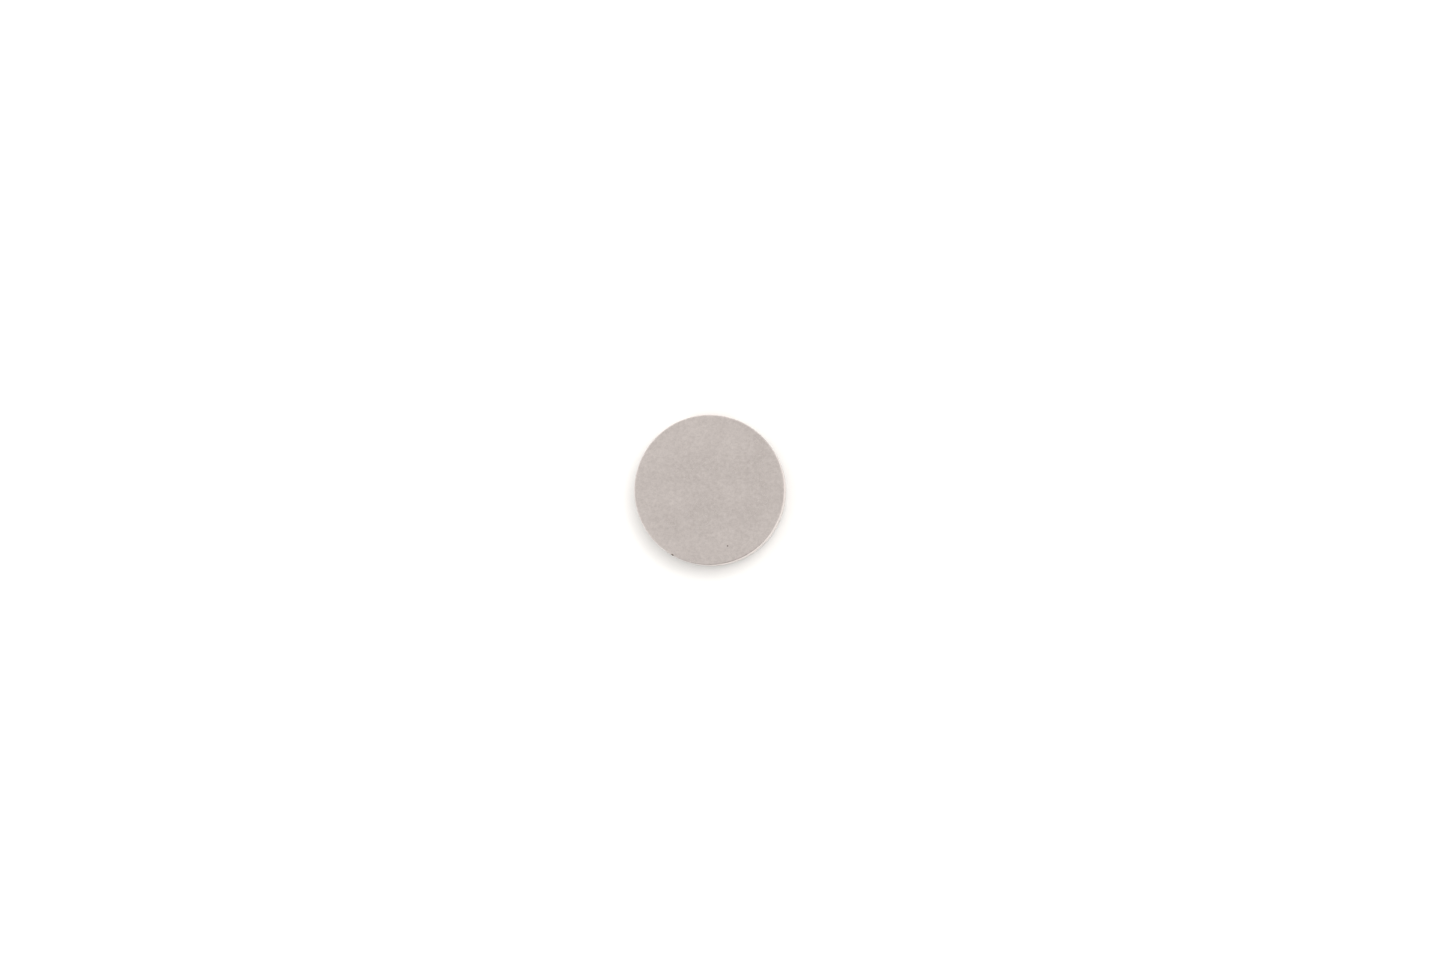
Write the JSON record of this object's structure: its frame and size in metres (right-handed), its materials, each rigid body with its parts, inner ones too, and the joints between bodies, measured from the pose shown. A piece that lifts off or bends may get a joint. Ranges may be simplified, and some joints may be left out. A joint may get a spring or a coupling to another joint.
{
  "type": "vibration coin motor",
  "caption": "Flat brushed vibration motor: a drawn steel can on an adhesive pad, with an off-balance half-moon rotor inside and two contact pads underneath.",
  "frame": {"origin": "on the shaft's axis, in the lower face of the adhesive pad", "axes": "+Z along the shaft towards the cover, +Y towards the side where the flexible circuit's tail leaves the can"},
  "size_m": [0.01, 0.01, 0.0029],
  "materials": {
    "nickel_plated_steel": "satin",
    "zinc_plated_steel": "satin",
    "ground_steel": "polished",
    "magnet_plating": "satin",
    "polyimide_film": "satin",
    "gold_plating": "satin",
    "silver_alloy": "satin",
    "solder": "satin",
    "adhesive_tape": "matte",
    "washer_film": "satin",
    "board_laminate": "satin",
    "enamelled_copper": "gloss",
    "tungsten_alloy": "matte",
    "moulded_resin": "matte",
    "sintered_bronze": "matte"
  },
  "bodies": {
    "housing": {"cover": "nickel_plated_steel", "base_plate": "zinc_plated_steel", "shaft": "ground_steel", "ring_magnet": "magnet_plating", "flex_circuit": "polyimide_film", "contact_pad_positive": "gold_plating", "contact_pad_negative": "gold_plating", "brush_positive": "silver_alloy", "brush_negative": "silver_alloy", "brush_solder_positive": "solder", "brush_solder_negative": "solder", "adhesive_pad": "adhesive_tape"},
    "rotor": {"bearing": "sintered_bronze", "rotor_board": "board_laminate", "coil_1": "enamelled_copper", "coil_2": "enamelled_copper", "counterweight": "tungsten_alloy", "rotor_moulding": "moulded_resin", "commutator_segment_1": "gold_plating", "commutator_segment_2": "gold_plating", "commutator_segment_3": "gold_plating", "commutator_segment_4": "gold_plating", "commutator_segment_5": "gold_plating", "commutator_segment_6": "gold_plating", "coil_terminal_1": "solder", "coil_terminal_2": "solder", "coil_terminal_3": "solder"},
    "lower_thrust_washer": {"lower_washer": "washer_film"},
    "upper_thrust_washer": {"upper_washer": "washer_film"}
  },
  "joints": [
    {"name": "rotor_spin", "type": "hinge", "parent": "housing", "child": "rotor", "pos_m": [0, 0, 0.0015], "axis": [0, 0, 1], "continuous": true},
    {"name": "lower_washer_spin", "type": "hinge", "parent": "housing", "child": "lower_thrust_washer", "pos_m": [0, 0, 0.0008], "axis": [0, 0, 1], "continuous": true},
    {"name": "upper_washer_spin", "type": "hinge", "parent": "housing", "child": "upper_thrust_washer", "pos_m": [0, 0, 0.0026], "axis": [0, 0, 1], "continuous": true}
  ]
}
